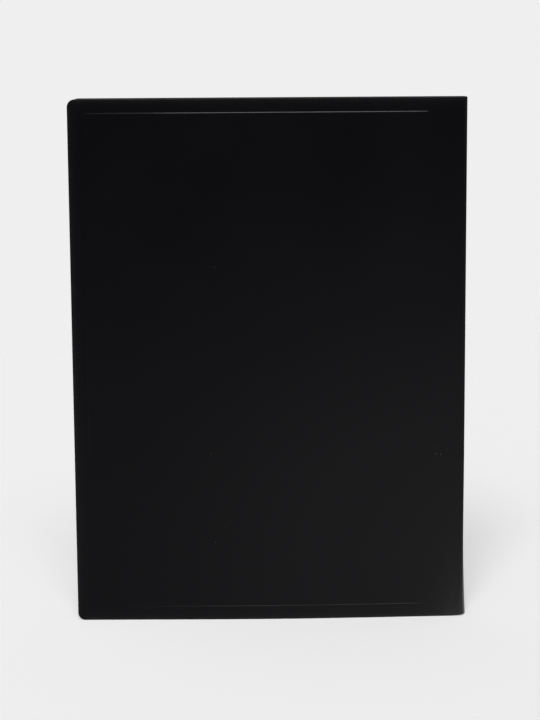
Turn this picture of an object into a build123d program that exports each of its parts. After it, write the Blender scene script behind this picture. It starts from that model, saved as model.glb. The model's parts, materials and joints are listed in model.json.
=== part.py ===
"""A4 display book: a creased plastic cover, a welded binding and twenty clear pockets.

Millimetres, +Z up. The book stands on its bottom edges with the spine towards +X, the front
cover towards +Y and the back cover towards -Y. The origin is under the middle of its box.
Every hinge axis is upright: a crease between the spine and each cover, and a weld line for
each pocket. Each piece that turns is drawn on its own axis, running to -X, and then placed.
"""
from build123d import *
import os
from math import cos, radians, sin, tan

# Cover sheet
cover_height = 310.0
cover_width = 231.3  # from the fore-edge to the outside of the spine
sheet_t = 0.7
fore_corner_r = 4.5
splay_deg = 1.0  # each cover stands this far open at rest

# Creases beside the spine
crease_bead_d = 0.4
crease_clearance = 0.05
crease_flank_deg = 42.0  # each flank of the V, measured from the sheet

# Weld seam of the pocket inside the back cover
seam_inset = 8.3  # from the top, bottom and fore-edge of the cover
seam_end = 21.0  # from the crease
seam_w = 0.9
seam_rise = 0.15  # above the outer face
seam_corner_r = 3.0
cover_pocket_t = 0.12
cover_pocket_gap = 0.10
cover_pocket_lip = 2.0  # film outside the seam

# Clear pockets
pocket_count = 20
pocket_pitch = 0.64
film_t = 0.06
pocket_gap = 0.20
pocket_clear_width = 212.0
pocket_height = 303.0
pocket_lift = 3.0  # pocket bottom above the foot of the cover
margin_w = 9.0  # welded margin between the hinge line and the inner seam
margin_taper = 2.0
inner_seam_w = 2.0
bottom_seam_w = 1.6
fore_seam_w = 1.0
fan_ratio = 0.445  # turn of the outermost pocket for each turn of its cover

# Binding
stack_clearance = 0.56  # outermost pocket to the inside of each cover when closed
strip_t = 0.5
block_depth = 2.0
block_side = 0.3  # block beyond the outermost hinge line
strip_side = 0.1  # strip beyond the block
groove_d = 0.5  # round each hinge line
root_clearance = 0.1  # hinge line in front of the block

# Sizes that follow
pocket_t = pocket_gap + 2 * film_t
margin_t = 2 * film_t
stack_reach = pocket_pitch * (pocket_count - 1) / 2
spine_width = 2 * (stack_reach + pocket_t / 2 + stack_clearance + sheet_t)
crease_y = spine_width / 2 - sheet_t / 2
cover_reach = cover_width - sheet_t / 2
splay = radians(splay_deg)
spine_x = (sheet_t / 2 + cover_reach * cos(splay) + sheet_t / 2 * sin(splay)) / 2
crease_x = spine_x - sheet_t / 2
strip_x = spine_x - sheet_t - strip_t
block_x = strip_x - block_depth
hinge_x = block_x - root_clearance
block_width = 2 * (stack_reach + block_side)
strip_width = block_width + 2 * strip_side
flank_run = sheet_t / 2 / tan(radians(crease_flank_deg))
film_edge = margin_w + inner_seam_w + pocket_clear_width + fore_seam_w


def slab(x, y, z):
    """A block between the given pairs of limits."""
    size = [high - low for low, high in (x, y, z)]
    centre = [(high + low) / 2 for low, high in (x, y, z)]
    return Pos(*centre) * Box(*size)


def cover_panel():
    """A cover on its crease: a sheet with rounded fore-edge corners and a V at the crease."""
    half = sheet_t / 2
    profile = Polygon(
        (0, 0), (-flank_run, half), (-cover_reach, half),
        (-cover_reach, -half), (-flank_run, -half), align=None,
    )
    panel = extrude(profile, amount=cover_height)
    corners = panel.edges().filter_by(Axis.Y).group_by(Axis.X)[0]
    panel = fillet(corners, fore_corner_r)
    seat = Cylinder(crease_bead_d / 2 + crease_clearance, 2 * cover_height)
    return panel - seat


def seam_runs():
    """The weld seam seen square to the cover: three sides and two corners, open at the spine."""
    near, far = -seam_end, seam_inset - cover_reach
    low, high = seam_inset, cover_height - seam_inset
    path = FilletPolyline(
        (near, low), (far, low), (far, high), (near, high), radius=seam_corner_r
    )
    return [trace(run, line_width=seam_w) for run in path.edges()]


def back_cover():
    """The back cover, with the line that the weld raises on its outer face."""
    outer_face = Plane.XZ.offset(sheet_t / 2)
    ridge = [extrude(outer_face * run, amount=seam_rise) for run in seam_runs()]
    return cover_panel() + ridge


def cover_pocket_seam():
    """The weld bead that holds the cover pocket's film off the inside of the back cover."""
    inner_face = Plane.XZ.offset(-sheet_t / 2)
    return [extrude(inner_face * run, amount=-cover_pocket_gap) for run in seam_runs()]


def cover_pocket_film():
    """The film of the cover pocket, with its mouth towards the spine."""
    edge = seam_inset - cover_pocket_lip
    film_y = sheet_t / 2 + cover_pocket_gap
    film = slab(
        (edge - cover_reach, -seam_end),
        (film_y, film_y + cover_pocket_t),
        (edge, cover_height - edge),
    )
    corners = film.edges().filter_by(Axis.Y).group_by(Axis.X)[0]
    return fillet(corners, seam_corner_r + cover_pocket_lip)


def spine_panel():
    """The spine between the creases, with a round bead on each hinge axis."""
    half = sheet_t / 2
    side = crease_y - flank_run
    profile = Polygon(
        (0, crease_y), (-half, side), (-half, -side),
        (0, -crease_y), (half, -side), (half, side), align=None,
    )
    panel = extrude(profile, amount=cover_height)
    for y in (crease_y, -crease_y):
        bead = Cylinder(crease_bead_d / 2, cover_height)
        panel += Pos(0, y, cover_height / 2) * bead
    return Pos(crease_x, 0, 0) * panel


def binding_strip():
    """The strip welded to the inside of the spine."""
    half = strip_width / 2
    top = pocket_lift + pocket_height
    return slab((strip_x, strip_x + strip_t), (-half, half), (pocket_lift, top))


def binding_block():
    """The welded pocket roots, with a round groove along each pocket's hinge line."""
    half = block_width / 2
    top = pocket_lift + pocket_height
    block = slab((block_x, block_x + block_depth), (-half, half), (pocket_lift, top))
    groove = Cylinder(groove_d / 2, 2 * cover_height)
    return block - [Pos(hinge_x, y, 0) * groove for y in hinge_lines()]


def pocket():
    """An A4 pocket on its hinge line: welded margin, two films and the seams between them."""
    thin, thick, gap = margin_t / 2, pocket_t / 2, pocket_gap / 2
    seam_x = -margin_w - inner_seam_w
    fore_x = fore_seam_w - film_edge
    low, high = pocket_lift, pocket_lift + pocket_height
    taper_x = margin_taper - margin_w
    section = Polygon(
        (0, -thin), (0, thin), (taper_x, thin), (-margin_w, gap), (seam_x, gap),
        (seam_x, -gap), (-margin_w, -gap), (taper_x, -thin), align=None,
    )
    margin = Pos(0, 0, low) * extrude(section, amount=pocket_height)
    films = [
        slab((-film_edge, -margin_w), side, (low, high))
        for side in ((gap, thick), (-thick, -gap))
    ]
    bottom_seam = slab((fore_x, seam_x), (-gap, gap), (low, low + bottom_seam_w))
    fore_seam = slab((-film_edge, fore_x), (-gap, gap), (low, high))
    return [margin, *films, bottom_seam, fore_seam]


def hinge_lines():
    """The pockets' places across the spine, from the front cover to the back cover."""
    return [stack_reach - i * pocket_pitch for i in range(pocket_count)]


def at_crease(solids, side):
    """Pieces of a cover in their place at rest: side is 1 at the front and -1 at the back."""
    place = Pos(crease_x, side * crease_y, 0) * Rot(0, 0, -side * splay_deg)
    return [place * solid for solid in solids]


def at_hinge_line(solids, y):
    """A pocket in its place at rest, fanned in step with the covers."""
    place = Pos(hinge_x, y, 0) * Rot(0, 0, -splay_deg * fan_ratio * y / stack_reach)
    return [place * solid for solid in solids]


def save(name, *pieces):
    export_step(Compound([piece.solid() for piece in pieces]), f"parts/{name}.step")


def main():
    os.makedirs("parts", exist_ok=True)
    save("spine_panel", spine_panel())
    save("binding_strip", binding_strip())
    save("binding_block", binding_block())
    save("front_cover", *at_crease([cover_panel()], 1))
    save("back_cover", *at_crease([back_cover()], -1))
    save("cover_pocket_seam", *at_crease(cover_pocket_seam(), -1))
    save("cover_pocket_film", *at_crease([cover_pocket_film()], -1))
    for number, y in enumerate(hinge_lines(), start=1):
        save(f"pocket_{number:02d}", *at_hinge_line(pocket(), y))


main()
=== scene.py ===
"""Dresses the clear pocket display book: covers, creases, spine, binding and clear pockets.

Metres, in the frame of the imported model: +Z up, the spine towards +X, the back cover towards
-Y, where the camera stands. Each cover and each pocket is modelled flat on its own hinge axis,
running to -X, and then turned to its place at rest.
"""
import json
import math

import bmesh
import bpy
from bpy.props import FloatProperty, FloatVectorProperty, PointerProperty
from mathutils import Matrix, Vector

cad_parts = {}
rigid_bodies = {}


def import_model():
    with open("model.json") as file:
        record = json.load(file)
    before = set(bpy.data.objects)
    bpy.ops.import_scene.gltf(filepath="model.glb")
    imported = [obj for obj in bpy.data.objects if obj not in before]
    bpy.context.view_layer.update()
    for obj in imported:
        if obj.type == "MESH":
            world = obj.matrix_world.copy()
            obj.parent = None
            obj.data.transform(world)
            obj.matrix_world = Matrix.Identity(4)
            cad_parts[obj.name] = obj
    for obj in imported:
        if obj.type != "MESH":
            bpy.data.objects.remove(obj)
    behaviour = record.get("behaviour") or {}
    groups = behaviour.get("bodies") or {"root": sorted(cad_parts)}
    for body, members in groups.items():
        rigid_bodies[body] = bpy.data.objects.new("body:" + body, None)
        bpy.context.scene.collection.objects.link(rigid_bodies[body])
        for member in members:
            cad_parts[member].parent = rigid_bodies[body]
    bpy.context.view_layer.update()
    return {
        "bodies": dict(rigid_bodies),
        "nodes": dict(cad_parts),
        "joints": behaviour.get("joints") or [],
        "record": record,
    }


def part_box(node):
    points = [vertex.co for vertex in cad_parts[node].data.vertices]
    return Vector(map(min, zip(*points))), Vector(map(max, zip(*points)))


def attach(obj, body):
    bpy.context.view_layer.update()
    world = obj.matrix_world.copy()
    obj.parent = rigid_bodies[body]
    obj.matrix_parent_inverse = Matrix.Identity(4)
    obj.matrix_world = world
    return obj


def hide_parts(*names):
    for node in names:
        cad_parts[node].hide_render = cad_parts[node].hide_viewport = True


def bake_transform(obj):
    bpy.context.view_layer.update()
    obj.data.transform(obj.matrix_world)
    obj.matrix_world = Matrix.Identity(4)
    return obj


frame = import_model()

bl_info = {
    "name": "Clear Pocket Display Book",
    "version": (1, 0, 0),
    "blender": (4, 5, 0),
    "location": "View3D > Sidebar > Display Book",
    "description": "Builds the covers, binding and clear pockets of a display book",
    "category": "Object",
}

MM = 0.001
JOINTS = {joint["name"]: joint for joint in frame["joints"]}
RATIOS = {c["joint"]: c["ratio"] for c in frame["record"]["behaviour"]["couplings"]}
CREASES = {name: Vector(JOINTS[name + "_hinge"]["pos_m"]) for name in ("front_cover", "back_cover")}
SPLAY = -math.radians(JOINTS["back_cover_hinge"]["range_deg"][0])
POCKETS = sorted(name for name in frame["bodies"] if name.startswith("pocket_"))
SPINE_LOW, SPINE_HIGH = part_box("spine_panel")
POCKET_LOW, POCKET_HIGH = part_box("pocket_10")

# Where the cover sheets are cut into a grid
FOOT_LINES = (0.0012, 0.0026, 0.0045, 0.0065, 0.009, 0.012, 0.017, 0.023, 0.03, 0.039, 0.05, 0.06,
              0.07, 0.082, 0.1)  # up from the floor
RIM_LINES = (0.0009, 0.0019, 0.0034)  # in from a cut edge
FIRST_RIM_LINE = 1.6  # in from a cut edge, in radii of the rim
CREASE_LINES = (0.015, 0.01, 0.006, 0.003)  # from the crease
SEAM_LINES_MM = (-3.2, -2.9, -2.6, -2.3, -2, -1.7, -1.4, -1.1, -0.85, -0.6, -0.45, -0.3, -0.15, 0,
                 0.15, 0.3, 0.45, 0.7, 1.1, 1.8)  # outwards from the middle of the weld seam
SEAM_END_LINES_MM = (2.3, 1.6, 1.1, 0.6, 0)  # back from the ends of the weld seam

# How far the wear and the painted sheen on the cut edges and on the feet by the creases reach
EDGE_WEAR_AND_SHEEN = 0.0014  # in from a cut edge
RUB_AND_SHEEN_HEIGHT = 0.02  # up from the floor
RUB_AND_SHEEN_START, RUB_AND_SHEEN_REACH = 0.006, 0.01  # from the crease, and on from there

BACK_WAVE, FRONT_WAVE = 0.13, 0.1  # sizes of the waves in the two covers
COVER_FREE = (0.002, 0.04)  # from the crease: where the waves begin and where they are full
SHARP_ANGLE = 0.9  # edges sharper than this are rounded
SMOOTH_ANGLE = math.radians(35)
NEAR = 1e-6  # points this close count as one


class BookSizes(bpy.types.PropertyGroup):
    """Sizes of the display book's sheets and films."""

    height: FloatProperty(
        name="Height", description="Height of the covers and the spine",
        default=SPINE_HIGH.z, unit="LENGTH")
    cover_reach: FloatProperty(
        name="Cover Reach", description="From a crease to the cover's fore-edge",
        default=0.23095, unit="LENGTH")
    sheet: FloatProperty(
        name="Sheet", description="Thickness of the cover sheet",
        default=SPINE_HIGH.x - SPINE_LOW.x, unit="LENGTH")
    corner: FloatProperty(
        name="Corner", description="Radius of the covers' fore-edge corners",
        default=0.0045, unit="LENGTH")
    rim: FloatProperty(
        name="Rim", description="Rounding of the cover sheet's cut edges",
        default=0.00022, unit="LENGTH")
    bend: FloatProperty(
        name="Crease Bend", description="Bend radius at the middle of the creased sheet",
        default=0.0012, unit="LENGTH")
    seam_inset: FloatProperty(
        name="Seam Inset", description="From the cover's edges to the middle of its weld seam",
        default=0.0083, unit="LENGTH")
    seam_end: FloatProperty(
        name="Seam End", description="From the crease to the ends of the weld seam",
        default=0.021, unit="LENGTH")
    seam_corner: FloatProperty(
        name="Seam Corner", description="Radius of the weld seam's corners",
        default=0.003, unit="LENGTH")
    seam_rise: FloatProperty(
        name="Seam Rise", description="Height of the weld seam above the cover",
        default=0.00018, unit="LENGTH")
    seam_half: FloatProperty(
        name="Seam Half Width", description="From the crest of the weld seam to its foot",
        default=0.00045, unit="LENGTH")
    bow: FloatProperty(
        name="Bow", description="How far a cover bows out at the middle of its foot",
        default=0.0024, unit="LENGTH")
    wave: FloatProperty(
        name="Wave", description="Height of the faint waves in the covers",
        default=0.0007, unit="LENGTH")
    flare: FloatProperty(
        name="Flare", description="How far the spine bulges out at the middle of its foot",
        default=0.00265, unit="LENGTH")
    tuck: FloatProperty(
        name="Tuck", description="How far the creases are drawn in at the foot of the spine",
        default=0.0009, unit="LENGTH")
    flare_height: FloatProperty(
        name="Flare Height", description="How far up the bulge at the foot of the spine reaches",
        default=0.07, unit="LENGTH")
    tuck_height: FloatProperty(
        name="Tuck Height", description="How far up the creases are drawn in",
        default=0.1, unit="LENGTH")
    worn_foot: FloatProperty(
        name="Worn Foot", description="How far the creases are worn up from the floor",
        default=0.0006, unit="LENGTH")
    film: FloatProperty(
        name="Film", description="Thickness of a pocket's film",
        default=0.00006, unit="LENGTH")
    film_gap: FloatProperty(
        name="Film Gap", description="Room between the two films of a pocket",
        default=0.0002, unit="LENGTH")
    film_wave: FloatProperty(
        name="Film Wave", description="Height of the waves that all pockets share",
        default=0.00035, unit="LENGTH")


class BookFinish(bpy.types.PropertyGroup):
    """Colours and gloss of the display book."""

    cover: FloatVectorProperty(
        name="Cover", description="Colour of the cover sheet", subtype="COLOR",
        default=(0.0016, 0.0016, 0.0025), min=0, max=1)
    cover_roughness: FloatProperty(
        name="Cover Roughness", description="Roughness of the satin cover sheet",
        default=0.32, min=0, max=1, subtype="FACTOR")
    # This colour also paints the lighter cut edges and crease feet: partly wear, partly a painted
    # sheen
    dust: FloatVectorProperty(
        name="Dust", description="Colour of dust and scuffs on the cover", subtype="COLOR",
        default=(0.09, 0.09, 0.088), min=0, max=1)
    binding: FloatVectorProperty(
        name="Binding", description="Colour of the binding strip", subtype="COLOR",
        default=(0.008, 0.008, 0.0085), min=0, max=1)
    weld: FloatVectorProperty(
        name="Weld", description="Colour of the milky welded film", subtype="COLOR",
        default=(0.72, 0.74, 0.75), min=0, max=1)
    film: FloatVectorProperty(
        name="Film", description="Colour of the clear film's haze", subtype="COLOR",
        default=(0.86, 0.88, 0.89), min=0, max=1)
    floor: FloatVectorProperty(
        name="Floor", description="Colour of the floor and the background", subtype="COLOR",
        default=(0.863, 0.863, 0.863), min=0, max=1)


def sizes():
    return bpy.context.scene.book_sizes


def finish():
    return bpy.context.scene.book_finish


class Wire:
    """A socket of a shader: arithmetic on it adds Math nodes, and node() adds any other."""

    def __init__(self, tree, socket=None):
        self.tree = tree
        self.socket = socket

    def join(self, target, value):
        """Links a wire to the target socket, or sets the socket's value."""
        if isinstance(value, Wire):
            self.tree.links.new(value.socket, target)
        elif isinstance(value, (int, float)) and hasattr(target.default_value, "__len__"):
            target.default_value = [value] * len(target.default_value)
        else:
            target.default_value = value

    def node(self, kind, settings=None, sockets=None, output=0):
        """Adds a node, sets it, feeds its sockets and returns the wire of one output."""
        made = self.tree.nodes.new(kind)
        for name, value in (settings or {}).items():
            setattr(made, name, value)
        for name, value in (sockets or {}).items():
            self.join(made.inputs[name], value)
        return Wire(self.tree, made.outputs[output])

    def maths(self, operation, first, second):
        return self.node("ShaderNodeMath", {"operation": operation}, {0: first, 1: second})

    def __add__(self, other):
        return self.maths("ADD", self, other)

    __radd__ = __add__

    def __sub__(self, other):
        return self.maths("SUBTRACT", self, other)

    def __rsub__(self, other):
        return self.maths("SUBTRACT", other, self)

    def __mul__(self, other):
        return self.maths("MULTIPLY", self, other)

    __rmul__ = __mul__

    def __lt__(self, other):
        return self.maths("LESS_THAN", self, other)

    def step(self, low, high):
        """0 below low, 1 above high and smooth between them; low may be above high."""
        return self.node(
            "ShaderNodeMapRange", {"interpolation_type": "SMOOTHSTEP"},
            {"Value": self, "From Min": low, "From Max": high})

    def tint(self, first, second):
        """The first colour where this is 0 and the second where it is 1; either may be a wire."""
        ends = [end if isinstance(end, Wire) else (*end, 1) for end in (first, second)]
        return self.node(
            "ShaderNodeMix", {"data_type": "RGBA"}, {0: self, 6: ends[0], 7: ends[1]}, output=2)


def new_material(name):
    """An empty node material, and a wire to start its expressions from."""
    material = bpy.data.materials.new(name)
    material.use_nodes = True
    material.node_tree.nodes.clear()
    return material, Wire(material.node_tree)


def close_material(start, surface):
    out = start.tree.nodes.new("ShaderNodeOutputMaterial")
    start.join(out.inputs["Surface"], surface)


def places(start, scale=(1, 1, 1), turn=(0, 0, 0)):
    """Object coordinates, scaled and turned."""
    raw = start.node("ShaderNodeTexCoord", output="Object")
    return start.node(
        "ShaderNodeMapping", None, {"Vector": raw, "Scale": scale, "Rotation": turn})


def noise(start, scale, detail=2.0, roughness=0.5, at=None):
    return start.node(
        "ShaderNodeTexNoise", None,
        {"Vector": at or places(start), "Scale": scale, "Detail": detail, "Roughness": roughness})


def cover_material(name):
    """Satin black sheet with a fine grain, faint scuffs and dust; its cut edges and the feet by its
    creases are lighter, partly worn and partly a painted sheen.
    """
    look = finish()
    material, start = new_material(name)
    cloud = noise(start, 16, 3)
    grain = noise(start, 2400, 2, 0.6)
    scuff = noise(start, 60, 4, 0.7, places(start, (1, 1, 14), (0, 0.5, 0))).step(0.66, 0.8)
    patch = noise(start, 9, 2).step(0.5, 0.75)
    speck = start.node(
        "ShaderNodeTexVoronoi", {"feature": "F1"},
        {"Vector": places(start), "Scale": 210, "Randomness": 1})
    pick = noise(start, 55, 1).step(0.69, 0.75)
    dust = (speck < 0.055) * pick
    spot = start.node("ShaderNodeTexCoord", output="Object")
    height = start.node("ShaderNodeSeparateXYZ", None, {"Vector": spot}, "Z")
    foot = height.step(0.0016, 0.0) * noise(start, 420, 3).step(0.4, 0.75)
    rim, rubbed, melted, creased = (
        start.node("ShaderNodeAttribute", {"attribute_name": share}, output="Fac")
        for share in ("rim", "rubbed", "melted", "creased"))
    fray = noise(start, 130, 3)
    # The cut edges and the feet by the creases are painted lighter: partly wear, partly a painted
    # sheen for the light they catch
    worn = rim * (fray.step(0.25, 0.75) * 0.05 + 0.055) + rubbed * (fray * 0.1 + 0.075)
    grey = start.maths("MAXIMUM", dust * 0.8, scuff * patch * 0.03 + foot * 0.12 + worn)
    bump = start.node(
        "ShaderNodeBump", None, {"Height": grain, "Strength": 0.16, "Distance": 0.00006})
    surface = start.node("ShaderNodeBsdfPrincipled", None, {
        "Base Color": grey.tint(look.cover, look.dust),
        "Roughness": (
            cloud * 0.1 + (look.cover_roughness - 0.05) + grey * 0.4 + creased * 0.14
            - melted * 0.06),
        "Specular IOR Level": 0.21,
        "Normal": bump,
    })
    close_material(start, surface)
    return material


def binding_material(name):
    """Black strip with fine lines along its length from the extruder."""
    look = finish()
    material, start = new_material(name)
    lines = noise(start, 900, 2, 0.5, places(start, (1, 1, 0.01)))
    patch = noise(start, 30, 3)
    bump = start.node(
        "ShaderNodeBump", None, {"Height": lines, "Strength": 0.2, "Distance": 0.00008})
    surface = start.node("ShaderNodeBsdfPrincipled", None, {
        "Base Color": (patch * lines).tint(look.binding, look.dust),
        "Roughness": patch * 0.2 + 0.3,
        "Normal": bump,
    })
    close_material(start, surface)
    return material


def weld_material(name, clear, colour):
    """Milky welded film, cloudier in patches; clear is how much light goes straight through."""
    material, start = new_material(name)
    cloud = noise(start, 340, 3, 0.6)
    bump = start.node(
        "ShaderNodeBump", None, {"Height": cloud, "Strength": 0.3, "Distance": 0.00008})
    milk = start.node("ShaderNodeBsdfPrincipled", None, {
        "Base Color": cloud.tint([c * 0.8 for c in colour], colour),
        "Roughness": cloud * 0.25 + 0.2,
        "Normal": bump,
    })
    through = start.node("ShaderNodeBsdfTransparent", None, {"Color": (0.96, 0.97, 0.97, 1)})
    surface = start.node(
        "ShaderNodeMixShader", None, {0: cloud * 0.3 + (0.85 - clear), 1: through, 2: milk})
    close_material(start, surface)
    return material


def film_material(name):
    """Clear film: a little haze with faint smears, and a gloss that grows at low angles."""
    look = finish()
    material, start = new_material(name)
    smear = noise(start, 26, 1, 0.6, places(start, (1, 1, 2.2), (0, 0.35, 0)))
    through = start.node("ShaderNodeBsdfTransparent", None, {"Color": (0.994, 0.995, 0.995, 1)})
    milk = start.node("ShaderNodeBsdfPrincipled", None, {
        "Base Color": (*look.film, 1), "Roughness": 0.45})
    body = start.node("ShaderNodeMixShader", None, {0: smear * 0.05 + 0.005, 1: through, 2: milk})
    gloss = start.node("ShaderNodeBsdfGlossy", None, {
        "Color": (1, 1, 1, 1), "Roughness": 0.13})
    slant = start.node("ShaderNodeLayerWeight", None, {"Blend": 0.5}, "Facing")
    edge_on = start.maths("POWER", slant, 5.0) * 0.9 + 0.045
    film = start.node("ShaderNodeMixShader", None, {0: edge_on, 1: body, 2: gloss})
    far_side = start.node("ShaderNodeNewGeometry", output="Backfacing")
    surface = start.node("ShaderNodeMixShader", None, {0: far_side, 1: film, 2: through})
    close_material(start, surface)
    return material


def shared(name, make, *details):
    """The material of this name, which is made when it is first asked for."""
    return bpy.data.materials.get(name) or make(name, *details)


def cover_black():
    return shared("cover_sheet_black", cover_material)


def film_clear():
    return shared("pocket_film", film_material)


def film_edge():
    return shared("film_edge", weld_material, 0.45, finish().film)


def film_weld():
    return shared("film_weld", weld_material, 0.62, finish().weld)


def root_weld():
    return shared("root_weld", weld_material, 0.1, finish().weld)


def start_piece():
    """Object mode with nothing selected."""
    if bpy.context.mode != "OBJECT":
        bpy.ops.object.mode_set(mode="OBJECT")
    bpy.ops.object.select_all(action="DESELECT")


def settle(name, size):
    """Gives the new primitive its name and size, with its place in its mesh."""
    piece = bpy.context.active_object
    piece.name = name
    piece.data.name = name
    piece.scale = size
    bpy.ops.object.transform_apply(location=True, rotation=True, scale=True)
    return piece


def flat_sheet(name, x, z, y=0.0, facing=0.0):
    """A rectangle in the XZ plane that faces -Y, turned by facing about the upright axis."""
    start_piece()
    bpy.ops.mesh.primitive_plane_add(
        size=1, location=((x[0] + x[1]) / 2, y, (z[0] + z[1]) / 2),
        rotation=(math.pi / 2, 0, facing))
    return settle(name, (x[1] - x[0], z[1] - z[0], 1))


def bar(name, x, y, z):
    """A block between the given limits."""
    start_piece()
    middle = [(low + high) / 2 for low, high in (x, y, z)]
    bpy.ops.mesh.primitive_cube_add(size=1, location=middle)
    return settle(name, [high - low for low, high in (x, y, z)])


def only(piece):
    start_piece()
    piece.select_set(True)
    bpy.context.view_layer.objects.active = piece


def edit(piece):
    only(piece)
    bpy.ops.object.mode_set(mode="EDIT")


def done():
    bpy.ops.object.mode_set(mode="OBJECT")


def choose(piece, kind, test):
    """Selects the verts or edges that pass the test, and nothing else."""
    bpy.ops.mesh.select_mode(type={"verts": "VERT", "edges": "EDGE"}[kind])
    bpy.ops.mesh.select_all(action="DESELECT")
    mesh = bmesh.from_edit_mesh(piece.data)
    for part in getattr(mesh, kind):
        if test(part):
            part.select_set(True)
    mesh.select_flush_mode()
    bmesh.update_edit_mesh(piece.data)


def cut(piece, **lines):
    """Bisects the whole piece at these places along x, y or z."""
    edit(piece)
    for axis, values in lines.items():
        normal = Vector([axis == name for name in "xyz"])
        for value in values:
            bpy.ops.mesh.select_all(action="SELECT")
            bpy.ops.mesh.bisect(plane_co=normal * value, plane_no=normal)
    done()


def round_corners(piece, radius, test, segments=10):
    edit(piece)
    choose(piece, "verts", test)
    bpy.ops.mesh.bevel(offset=radius, segments=segments, affect="VERTICES", clamp_overlap=False)
    done()


def line_rim(piece):
    """A line of edges just inside the outline, so that a rounded rim doesn't shade the sheet."""
    edit(piece)
    bpy.ops.mesh.select_all(action="SELECT")
    bpy.ops.mesh.inset(thickness=FIRST_RIM_LINE * sizes().rim)
    done()


def round_rim(piece, radius, skip=lambda edge: False):
    """Rounds the sharp edges, apart from those that skip names."""

    def sharp(edge):
        return edge.is_manifold and edge.calc_face_angle() > SHARP_ANGLE and not skip(edge)

    edit(piece)
    choose(piece, "edges", sharp)
    bpy.ops.mesh.bevel(offset=radius, segments=3, affect="EDGES", clamp_overlap=False)
    done()


def modify(piece, kind, **settings):
    """Adds a modifier, sets it and applies it."""
    only(piece)
    made = piece.modifiers.new(kind.lower(), kind)
    for name, value in settings.items():
        setattr(made, name, value)
    bpy.ops.object.modifier_apply(modifier=made.name)


def thicken(piece, thickness, rim_material=0):
    """Gives a sheet its thickness, half to each side; its rim takes a material this far on."""
    modify(piece, "SOLIDIFY", thickness=thickness, offset=0, use_even_offset=True,
           material_offset_rim=rim_material)


def weigh(piece, name, share):
    """A vertex group in which each point's weight is share(point)."""
    group = piece.vertex_groups.new(name=name)
    for vertex in piece.data.vertices:
        group.add([vertex.index], max(0.0, min(1.0, share(vertex.co))), "REPLACE")


def mark(piece, name, share):
    """A value for each point of the mesh that its material can read."""
    values = piece.data.attributes.new(name, "FLOAT", "POINT")
    values.data.foreach_set("value", [share(vertex.co) for vertex in piece.data.vertices])


def push(piece, group, distance, axis="Y", texture=None):
    """Moves the points along an axis by their weight, with a texture if there is one."""
    middle = 0.5 if texture else 0.0
    modify(piece, "DISPLACE", vertex_group=group, strength=distance, direction=axis,
           mid_level=middle, texture=texture, texture_coords="LOCAL")


def clouds(name, scale, depth=1):
    texture = bpy.data.textures.get(name) or bpy.data.textures.new(name, "CLOUDS")
    texture.noise_scale = scale
    texture.noise_depth = depth
    return texture


def place(piece, spot, turn):
    """Moves the piece and turns it about the upright axis, with its place in its mesh."""
    only(piece)
    piece.location = spot
    piece.rotation_euler = (0, 0, turn)
    bpy.ops.object.transform_apply(location=True, rotation=True, scale=True)


def duplicate(piece, name):
    only(piece)
    bpy.ops.object.duplicate(linked=False)
    copy = bpy.context.active_object
    copy.name = name
    copy.data.name = name
    return copy


def merge(pieces, name):
    start_piece()
    for piece in pieces:
        piece.select_set(True)
    bpy.context.view_layer.objects.active = pieces[0]
    bpy.ops.object.join()
    pieces[0].name = name
    pieces[0].data.name = name
    return pieces[0]


def dress(piece, *materials):
    piece.data.materials.clear()
    for one in materials:
        piece.data.materials.append(one)


def smooth(piece):
    only(piece)
    bpy.ops.object.shade_smooth_by_angle(angle=SMOOTH_ANGLE)


def steps(low, high, count):
    """The places between low and high that part them into count equal lengths."""
    return [low + (high - low) * i / count for i in range(1, count)]


def ease(value, low, high):
    """0 at low, 1 at high, smooth between them."""
    share = max(0.0, min(1.0, (value - low) / (high - low)))
    return share * share * (3 - 2 * share)


def crease_run():
    """From a hinge axis to the end of its crease's bend, along either sheet."""
    return sizes().bend * math.tan((math.pi / 2 - SPLAY) / 2)


def seam_distance(x, z):
    """How far a point of the flat cover lies from the middle of the weld seam."""
    s = sizes()
    far, low, high = s.seam_inset - s.cover_reach, s.seam_inset, s.height - s.seam_inset
    radius = s.seam_corner
    out_x = far + radius - x
    out_z = max(low + radius - z, z - high + radius)
    if out_x > 0 and out_z > 0:
        return abs(math.hypot(out_x, out_z) - radius)
    return abs(max(out_x, out_z) - radius)


def seam_profile(point):
    """The weld seam's height as a share: a crest with soft shoulders, lower near the fore-edge."""
    s = sizes()
    outer_face = -0.4 * s.sheet
    if point.y > outer_face:
        return 0.0
    gap = seam_distance(point.x, point.z) / s.seam_half
    crest = math.exp(-(2.2 * gap) ** 2)
    shoulder = 0.14 * math.exp(-(0.45 * gap) ** 2)
    from_edge = point.x + s.cover_reach
    long_fade, short_fade = (0.085, 0.03), (0.024, 0.009)
    faded = 0.16 * ease(from_edge, *long_fade) + 0.27 * ease(from_edge, *short_fade)
    along = (1 - faded) * ease(-point.x, s.seam_end + 0.0001, s.seam_end + 0.0022)
    low = 1 - point.z / s.height
    gain = 0.073 + 0.06 * ease(-point.x, 0.1, 0.04)
    return (crest + shoulder) * along * (0.7 + gain * low)


def rim_wear_and_sheen(point):
    """1 on the cover's cut edges, falling away from them: where wear and a painted edge sheen
    lighten the sheet.
    """
    s = sizes()
    inside = min(point.x + s.cover_reach, point.z, s.height - point.z)
    return math.exp(-max(0.0, inside) / EDGE_WEAR_AND_SHEEN)


def rubbed_and_sheen_share(point):
    """1 at the foot of a cover by its crease, falling away from there: where wear and a painted
    sheen lighten it.
    """
    past = max(0.0, -point.x - RUB_AND_SHEEN_START)
    return math.exp(-point.z / RUB_AND_SHEEN_HEIGHT - past / RUB_AND_SHEEN_REACH)


def rubbed_and_sheen_foot(point):
    """1 at the foot of a sheet, falling away upwards: where wear and a painted sheen lighten it."""
    return math.exp(-point.z / RUB_AND_SHEEN_HEIGHT)


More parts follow.
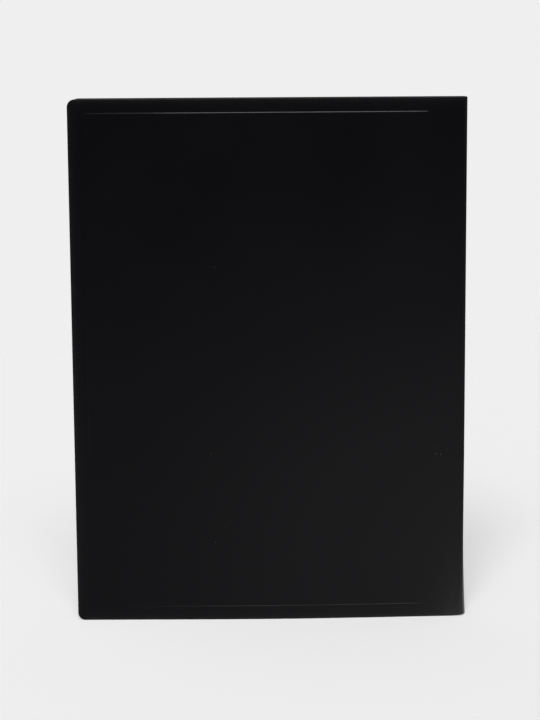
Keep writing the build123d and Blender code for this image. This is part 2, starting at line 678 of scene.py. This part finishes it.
def bow_share(point):
    """Where a cover bows out: most at the middle of its foot, nowhere at the crease or the top."""
    s = sizes()
    along = max(0.0, min(1.0, -point.x / s.cover_reach))
    return math.sin(math.pi * along) ** 1.5 * (1 - point.z / s.height)


def flare(piece):
    """Bulges the foot of the spine, and draws in and wears its creases, on any sheet there."""
    s = sizes()
    crease = CREASES["front_cover"]
    outside = crease.y + s.sheet / 2
    set_from, set_to = crease.x - 0.02, crease.x - 0.001
    worn_from, worn_height = crease.x - 0.0055, 0.012
    worn_sides = 0.001, 0.0068

    def by_crease(point):
        return ease(point.x, set_from, set_to)

    def tuck(point):
        return max(0.0, 1 - point.z / s.tuck_height) ** 1.7 * by_crease(point)

    def spread(point):
        across = max(0.0, 1 - (point.y / outside) ** 2)
        return max(0.0, 1 - point.z / s.flare_height) ** 1.6 * across * by_crease(point)

    def worn(point):
        near = ease(point.x, worn_from, crease.x) * ease(abs(point.y), *worn_sides)
        return ease(point.z, worn_height, 0.0) * near

    weigh(piece, "tuck", tuck)
    weigh(piece, "spread", spread)
    weigh(piece, "worn", worn)
    push(piece, "tuck", -s.tuck, "X")
    push(piece, "spread", s.flare, "X")
    push(piece, "worn", s.worn_foot, "Z")
    piece.vertex_groups.clear()


def wave_share(point):
    """Where a sheet is free to wave: away from the crease."""
    return ease(-point.x, *COVER_FREE)


def bow_out(piece, wave_scale):
    """Bows a cover, or a piece that lies on it, and gives it faint waves of this size."""
    s = sizes()
    weigh(piece, "bow", bow_share)
    weigh(piece, "wave", wave_share)
    push(piece, "bow", -s.bow)
    push(piece, "wave", s.wave, texture=clouds(f"cover_wave_{wave_scale}", wave_scale))


def at_fore_edge(vertex):
    return vertex.co.x < -sizes().cover_reach / 2


def cover_blank(name):
    """A flat cover on its crease: rounded fore-edge corners, a fine grid and rounded rims."""
    s = sizes()
    end = -crease_run()
    border, by_crease = 0.016, 0.02
    blank = flat_sheet(name, (-s.cover_reach, end), (0, s.height))
    round_corners(blank, s.corner, at_fore_edge)
    line_rim(blank)
    offsets = [value * MM for value in SEAM_LINES_MM]
    xs = steps(border - s.cover_reach, -by_crease, 24) + [-v for v in CREASE_LINES]
    xs += [s.seam_inset - s.cover_reach - v for v in offsets]
    xs += [-s.seam_end - v * MM for v in SEAM_END_LINES_MM]
    xs += [v - s.cover_reach for v in RIM_LINES]
    zs = steps(border, s.height - border, 30) + list(FOOT_LINES)
    zs += [s.seam_inset - v for v in offsets]
    zs += [s.height - s.seam_inset + v for v in offsets]
    zs += [s.height - v for v in RIM_LINES]
    cut(blank, x=sorted(xs), z=sorted(zs))
    thicken(blank, s.sheet)
    round_rim(blank, s.rim, lambda e: all(v.co.x > end - NEAR for v in e.verts))
    dress(blank, cover_black())
    return blank


class DISPLAYBOOK_OT_covers(bpy.types.Operator):
    """Models the two covers, with the raised weld seam on the back cover"""

    bl_idname = "displaybook.covers"
    bl_label = "Covers"

    def execute(self, context):
        back = cover_blank("back_cover_sheet")
        # The cut edges and the feet by the crease are painted lighter: wear and a painted sheen
        mark(back, "rim", rim_wear_and_sheen)
        mark(back, "rubbed", rubbed_and_sheen_share)
        front = duplicate(back, "front_cover_sheet")
        weigh(back, "seam", seam_profile)
        mark(back, "melted", seam_profile)
        push(back, "seam", -sizes().seam_rise)
        bow_out(back, BACK_WAVE)
        bow_out(front, FRONT_WAVE)
        place(back, CREASES["back_cover"], SPLAY)
        edit(front)
        bpy.ops.mesh.select_all(action="SELECT")
        bpy.ops.transform.resize(value=(1, -1, 1), center_override=(0, 0, 0), orient_type="GLOBAL")
        bpy.ops.mesh.normals_make_consistent(inside=False)
        done()
        place(front, CREASES["front_cover"], -SPLAY)
        for sheet, body in ((back, "back_cover"), (front, "front_cover")):
            flare(sheet)
            smooth(sheet)
            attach(sheet, body)
            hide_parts(body)
        return {"FINISHED"}


class DISPLAYBOOK_OT_creases(bpy.types.Operator):
    """Models the bend of the sheet between the spine and each cover"""

    bl_idname = "displaybook.creases"
    bl_label = "Creases"

    def execute(self, context):
        s = sizes()
        run = crease_run()
        turn = math.pi / 2 - SPLAY
        half = s.sheet / 2
        lines = [*FOOT_LINES, 0.15, 0.2]
        rough_from, rough_to = 0.02, 0.14
        for name, side in (("back_cover", -1), ("front_cover", 1)):
            axis = CREASES[name]
            spine_end = Vector((axis.x, axis.y - side * run, 0))
            centre = spine_end - Vector((s.bend, 0, 0))
            crease = flat_sheet(
                name + "_crease", (axis.x - half, axis.x + half), (0, s.height), spine_end.y)
            round_corners(crease, s.rim, lambda v: True, segments=3)
            cut(crease, z=lines)
            edit(crease)
            bpy.ops.mesh.select_all(action="SELECT")
            bpy.ops.mesh.spin(steps=20, angle=turn, center=centre, axis=(0, 0, -side))
            bpy.ops.mesh.select_all(action="SELECT")
            bpy.ops.mesh.remove_doubles(threshold=NEAR)
            bpy.ops.mesh.normals_make_consistent(inside=False)
            done()
            mark(crease, "creased", lambda point: ease(point.z, rough_from, rough_to))
            # The crease is painted lighter towards the floor: wear and a painted sheen
            mark(crease, "rubbed", lambda point: 1.6 * rubbed_and_sheen_foot(point))
            flare(crease)
            dress(crease, cover_black())
            smooth(crease)
            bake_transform(crease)
        return {"FINISHED"}


class DISPLAYBOOK_OT_spine(bpy.types.Operator):
    """Models the spine's sheet between the creases"""

    bl_idname = "displaybook.spine"
    bl_label = "Spine"

    wave = 0.00025
    wave_scale = 0.05
    wave_free = 0.004

    def execute(self, context):
        s = sizes()
        axis = CREASES["front_cover"]
        side = axis.y - crease_run()
        spine = flat_sheet("spine_sheet", (-side, side), (0, s.height), facing=math.pi / 2)
        line_rim(spine)
        lines = [*FOOT_LINES, *steps(0.05, s.height - 0.002, 26)]
        cut(spine, y=steps(-side, side, 16), z=lines)
        thicken(spine, s.sheet)
        round_rim(spine, s.rim, lambda e: all(abs(v.co.y) > side - NEAR for v in e.verts))
        # The spine's foot is painted lighter: wear and a painted sheen
        mark(spine, "rubbed", rubbed_and_sheen_foot)
        weigh(spine, "wave", lambda p: ease(side - abs(p.y), 0, self.wave_free))
        push(spine, "wave", self.wave, "X", clouds("spine_wave", self.wave_scale))
        place(spine, (axis.x, 0, 0), 0)
        flare(spine)
        dress(spine, cover_black())
        smooth(spine)
        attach(spine, "spine")
        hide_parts("spine_panel")
        return {"FINISHED"}


class DISPLAYBOOK_OT_binding(bpy.types.Operator):
    """Models the strip inside the spine and finishes the welded pocket roots"""

    bl_idname = "displaybook.binding"
    bl_label = "Binding"

    strip_rim = 0.00012

    def execute(self, context):
        low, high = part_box("binding_strip")
        strip = bar("binding_strip_rounded", (low.x, high.x), (low.y, high.y), (low.z, high.z))
        cut(strip, z=steps(low.z, high.z, 24))
        round_rim(strip, self.strip_rim)
        dress(strip, shared("binding_strip_black", binding_material))
        smooth(strip)
        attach(strip, "spine")
        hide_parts("binding_strip")
        dress(frame["nodes"]["binding_block"], root_weld())
        return {"FINISHED"}


class DISPLAYBOOK_OT_cover_pocket(bpy.types.Operator):
    """Models the film inside the back cover and the weld that holds it"""

    bl_idname = "displaybook.cover_pocket"
    bl_label = "Cover Pocket"

    lip = 0.002
    gap = 0.0001
    thickness = 0.00012
    wave = 0.00012
    wave_scale = 0.07
    wave_free = (0.002, 0.03)

    def execute(self, context):
        inside = sizes().sheet / 2
        film = self.film()
        place(film, (0, inside + self.gap + self.thickness / 2, 0), 0)
        weld = self.weld_bead(inside, self.gap)
        bow_out(weld, BACK_WAVE)
        dress(weld, film_weld())
        for piece, node in ((film, "cover_pocket_film"), (weld, "cover_pocket_seam")):
            place(piece, CREASES["back_cover"], SPLAY)
            piece.vertex_groups.clear()
            smooth(piece)
            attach(piece, "back_cover")
            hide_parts(node)
        return {"FINISHED"}

    def film(self):
        """The film, bowed like its cover and with small waves of its own inside the seam."""
        s = sizes()
        edge = s.seam_inset - self.lip
        x = edge - s.cover_reach, -s.seam_end
        z = edge, s.height - edge
        film = flat_sheet("cover_pocket_sheet", x, z)
        round_corners(film, s.seam_corner + self.lip, at_fore_edge)
        cut(film, x=steps(*x, 26), z=steps(*z, 34))
        dress(film, film_clear(), film_edge())
        thicken(film, self.thickness, rim_material=1)
        bow_out(film, BACK_WAVE)
        weigh(film, "loose", lambda p: ease(seam_distance(p.x, p.z), *self.wave_free))
        push(film, "loose", self.wave, texture=clouds("cover_film_wave", self.wave_scale))
        return film

    def weld_bead(self, inside, gap):
        """The bead under the film: swept from the upper end of the seam round to the lower."""
        s = sizes()
        half = s.seam_half
        high, low = s.height - s.seam_inset, s.seam_inset
        far, radius = s.seam_inset - s.cover_reach, s.seam_corner
        bead = flat_sheet("cover_pocket_weld", (-gap / 2, gap / 2), (high - half, high + half),
                          facing=math.pi / 2)
        place(bead, (-s.seam_end, inside + gap / 2, 0), 0)
        edit(bead)
        bpy.ops.mesh.select_mode(type="FACE")
        bpy.ops.mesh.select_all(action="SELECT")
        across = far + radius + s.seam_end
        self.sweep(Vector((across, 0, 0)), 24)
        bpy.ops.mesh.spin(steps=6, angle=math.pi / 2, axis=(0, 1, 0),
                          center=(far + radius, inside, high - radius))
        self.sweep(Vector((0, 0, low - high + 2 * radius)), 30)
        bpy.ops.mesh.spin(steps=6, angle=math.pi / 2, axis=(0, 1, 0),
                          center=(far + radius, inside, low + radius))
        self.sweep(Vector((-across, 0, 0)), 24)
        bpy.ops.mesh.select_all(action="SELECT")
        bpy.ops.mesh.remove_doubles(threshold=NEAR)
        bpy.ops.mesh.normals_make_consistent(inside=False)
        done()
        return bead

    def sweep(self, way, count):
        """Extrudes the selected end of the bead along the way, in this many lengths."""
        for _ in range(count):
            bpy.ops.mesh.extrude_region_move(TRANSFORM_OT_translate={"value": way / count})


class DISPLAYBOOK_OT_pockets(bpy.types.Operator):
    """Models one clear pocket, and copies it to each weld line of the binding"""

    bl_idname = "displaybook.pockets"
    bl_label = "Pockets"

    reach = 0.224
    margin = 0.009
    taper = 0.002
    inner_seam = 0.002
    fore_seam = 0.001
    bottom_seam = 0.0016
    seam_rim = 0.0001
    rib_pitch = 0.0015
    rib_low, rib_high = 0.0004, 0.0012
    rib_inset = 0.0002
    rib_rise = 0.00002
    rib_end = 0.001
    free_from, free_to = 0.012, 0.06
    mouth_width = 0.21
    mouth_depth = 0.09
    mouth_parting = 0.00006
    wave_scale = 0.08
    own_wave = 0.0001

    def execute(self, context):
        s = sizes()
        master = self.pocket()
        same_wave = clouds("pocket_wave", self.wave_scale)
        for number, name in enumerate(POCKETS):
            leaf = duplicate(master, name + "_film")
            joint = JOINTS[name + "_turn"]
            push(leaf, "loose", s.film_wave, texture=same_wave)
            # The pockets' own waves come in ten sizes, in a mixed order
            own_scale = 0.045 + 0.006 * ((number * 7) % 10)
            push(leaf, "loose", self.own_wave, texture=clouds("pocket_wave_own", own_scale, 0))
            leaf.vertex_groups.clear()
            place(leaf, joint["pos_m"], joint["axis"][2] * SPLAY * RATIOS[joint["name"]])
            smooth(leaf)
            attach(leaf, name)
            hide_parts(name)
        bpy.data.objects.remove(master)
        return {"FINISHED"}

    def pocket(self):
        """A pocket on its weld line: two films, a welded margin, ribs, and two seams."""
        s = sizes()
        low, high = POCKET_LOW.z, POCKET_HIGH.z
        edge = -self.reach
        seam_x = -self.margin - self.inner_seam
        fore_x = edge + self.fore_seam
        half, outside = s.film_gap / 2, s.film_gap / 2 + s.film

        films = []
        for side in (-1, 1):
            film = flat_sheet("film", (edge, -self.margin), (low, high))
            cut(film, x=steps(edge, -self.margin, 26) + [fore_x, seam_x],
                z=steps(low, high, 34) + [low + self.bottom_seam])
            dress(film, film_clear(), film_edge())
            thicken(film, s.film, rim_material=1)
            weigh(film, "loose", self.loose)
            weigh(film, "mouth", self.mouth)
            push(film, "mouth", side * self.mouth_parting)
            place(film, (0, side * (half + s.film / 2), 0), 0)
            films.append(film)

        margin = flat_sheet("margin", (seam_x, 0), (low, high))
        cut(margin, x=[-self.margin, self.taper - self.margin], z=steps(low, high, 34))
        thicken(margin, 2 * s.film)
        edit(margin)
        choose(margin, "verts", lambda v: v.co.x < NEAR - self.margin)
        bpy.ops.transform.resize(
            value=(1, half / s.film, 1), center_override=(0, 0, 0), orient_type="GLOBAL")
        done()

        rib_half = outside + self.rib_rise
        rib = bar("rib", (seam_x + self.rib_inset, -self.margin - self.rib_inset),
                  (-rib_half, rib_half), (low + self.rib_low, low + self.rib_high))
        count = int((high - low - self.rib_end) / self.rib_pitch)
        modify(rib, "ARRAY", count=count, use_relative_offset=False, use_constant_offset=True,
               constant_offset_displace=(0, 0, self.rib_pitch))

        foot = bar("foot", (edge, seam_x), (-outside, outside), (low, low + self.bottom_seam))
        cut(foot, x=steps(edge, seam_x, 26))
        fore = bar("fore", (edge, fore_x), (-outside, outside), (low, high))
        cut(fore, z=steps(low, high, 34))
        for seam in (foot, fore):
            round_rim(seam, self.seam_rim)
        for piece in (margin, rib, foot, fore):
            weigh(piece, "loose", self.loose)
            dress(piece, film_weld())
        return merge([*films, margin, rib, foot, fore], "pocket_master")

    def loose(self, point):
        """Where a pocket is free to wave: away from its weld line."""
        return ease(-point.x, self.free_from, self.free_to)

    def mouth(self, point):
        """Where a pocket's films part: along the middle of its open top."""
        along = max(0.0, min(1.0, (-point.x - self.free_from) / self.mouth_width))
        top = POCKET_HIGH.z
        return math.sin(math.pi * along) * ease(point.z, top - self.mouth_depth, top)


class DISPLAYBOOK_OT_stage(bpy.types.Operator):
    """Sets the floor, the light and the camera"""

    bl_idname = "displaybook.stage"
    bl_label = "Stage"

    fade_centre = (0.3, 0.0, 0.0)
    fade = (0.55, 1.5)
    thin_across = (0.18, -0.2)
    ambient = 0.3
    dim = (0.02, 0.02, 0.02)
    sun_tilt = math.radians(42)
    sun_width = math.radians(30)
    eye = (0.0014, -1.1392, 0.3390)
    yaw_pitch_roll = (-0.048, 9.147, -0.392)
    lens = 97.2

    def execute(self, context):
        self.floor()
        self.world()
        self.lamps()
        self.camera()
        context.scene.view_settings.view_transform = "Standard"
        context.scene.cycles.transparent_max_bounces = 64
        return {"FINISHED"}

    def floor(self):
        start_piece()
        bpy.ops.mesh.primitive_circle_add(
            vertices=96, radius=self.fade[1], fill_type="NGON", location=self.fade_centre)
        floor = settle("floor", (1, 1, 1))
        made, start = new_material("floor_pale")
        spot = start.node("ShaderNodeTexCoord", output="Object")
        reach = start.node(
            "ShaderNodeVectorMath", {"operation": "DISTANCE"},
            {0: spot, 1: self.fade_centre}, "Value")
        across = start.node("ShaderNodeSeparateXYZ", None, {"Vector": spot}, "X")
        thin = across.step(*self.thin_across) * 0.5 + 0.15
        gone_by = start.maths("MAXIMUM", reach.step(*self.fade), thin)
        pale = start.node("ShaderNodeBsdfDiffuse", None, {"Color": (*finish().floor, 1)})
        gone = start.node("ShaderNodeBsdfTransparent")
        surface = start.node("ShaderNodeMixShader", None, {0: gone_by, 1: pale, 2: gone})
        close_material(start, surface)
        dress(floor, made)

    def world(self):
        world = bpy.data.worlds.new("studio")
        bpy.context.scene.world = world
        world.use_nodes = True
        world.node_tree.nodes.clear()
        start = Wire(world.node_tree)
        way = start.node("ShaderNodeTexCoord", output="Generated")
        behind = start.node("ShaderNodeSeparateXYZ", None, {"Vector": way}, "Y").step(0.35, 0.85)
        camera = start.node("ShaderNodeLightPath", output="Is Camera Ray")
        glossy = start.node("ShaderNodeLightPath", output="Is Glossy Ray")
        through = start.node("ShaderNodeLightPath", output="Is Transmission Ray")
        mirrored = start.maths("MAXIMUM", glossy, through)
        soft = (self.ambient,) * 3
        pale = tuple(finish().floor)
        room = behind.tint(self.dim, pale)
        light = mirrored.tint(soft, room)
        colour = camera.tint(light, pale)
        shade = start.node("ShaderNodeBackground", None, {"Color": colour, "Strength": 1.0})
        out = world.node_tree.nodes.new("ShaderNodeOutputWorld")
        start.join(out.inputs["Surface"], shade)

    def lamps(self):
        start_piece()
        bpy.ops.object.light_add(type="SUN", location=(0.2, -0.3, 1.5))
        sun = bpy.context.active_object
        sun.name = "overhead_light"
        sun.rotation_euler = (self.sun_tilt, 0, 0)
        sun.data.angle = self.sun_width
        sun.data.energy = (1 - self.ambient) * math.pi / math.cos(self.sun_tilt)

    def camera(self):
        start_piece()
        bpy.ops.object.camera_add(location=self.eye)
        camera = bpy.context.active_object
        yaw, pitch, roll = (math.radians(angle) for angle in self.yaw_pitch_roll)
        ahead = Vector((
            math.sin(yaw) * math.cos(pitch), math.cos(yaw) * math.cos(pitch), -math.sin(pitch)))
        right = Vector((math.cos(yaw), -math.sin(yaw), 0))
        up = right.cross(ahead)
        right, up = (
            math.cos(roll) * right + math.sin(roll) * up,
            math.cos(roll) * up - math.sin(roll) * right)
        camera.rotation_euler = Matrix((right, up, -ahead)).transposed().to_euler()
        camera.data.lens = self.lens
        camera.data.sensor_width = 36
        camera.data.clip_start = 0.01
        bpy.context.scene.camera = camera


OPERATORS = (
    DISPLAYBOOK_OT_covers,
    DISPLAYBOOK_OT_creases,
    DISPLAYBOOK_OT_spine,
    DISPLAYBOOK_OT_binding,
    DISPLAYBOOK_OT_cover_pocket,
    DISPLAYBOOK_OT_pockets,
    DISPLAYBOOK_OT_stage,
)


class DISPLAYBOOK_PT_panel(bpy.types.Panel):
    """Lists the display book's operators and sizes"""

    bl_idname = "DISPLAYBOOK_PT_panel"
    bl_label = "Display Book"
    bl_space_type = "VIEW_3D"
    bl_region_type = "UI"
    bl_category = "Display Book"

    def draw(self, context):
        layout = self.layout
        for operator in OPERATORS:
            layout.operator(operator.bl_idname)
        for group in (context.scene.book_sizes, context.scene.book_finish):
            box = layout.box()
            for name in group.__annotations__:
                box.prop(group, name)


CLASSES = (BookSizes, BookFinish, *OPERATORS, DISPLAYBOOK_PT_panel)


def register():
    for one in CLASSES:
        bpy.utils.register_class(one)
    bpy.types.Scene.book_sizes = PointerProperty(type=BookSizes)
    bpy.types.Scene.book_finish = PointerProperty(type=BookFinish)


def unregister():
    del bpy.types.Scene.book_finish
    del bpy.types.Scene.book_sizes
    for one in reversed(CLASSES):
        bpy.utils.unregister_class(one)


def main():
    register()
    bpy.ops.displaybook.stage()
    bpy.ops.displaybook.covers()
    bpy.ops.displaybook.creases()
    bpy.ops.displaybook.spine()
    bpy.ops.displaybook.binding()
    bpy.ops.displaybook.cover_pocket()
    bpy.ops.displaybook.pockets()


if __name__ == "__main__":
    main()
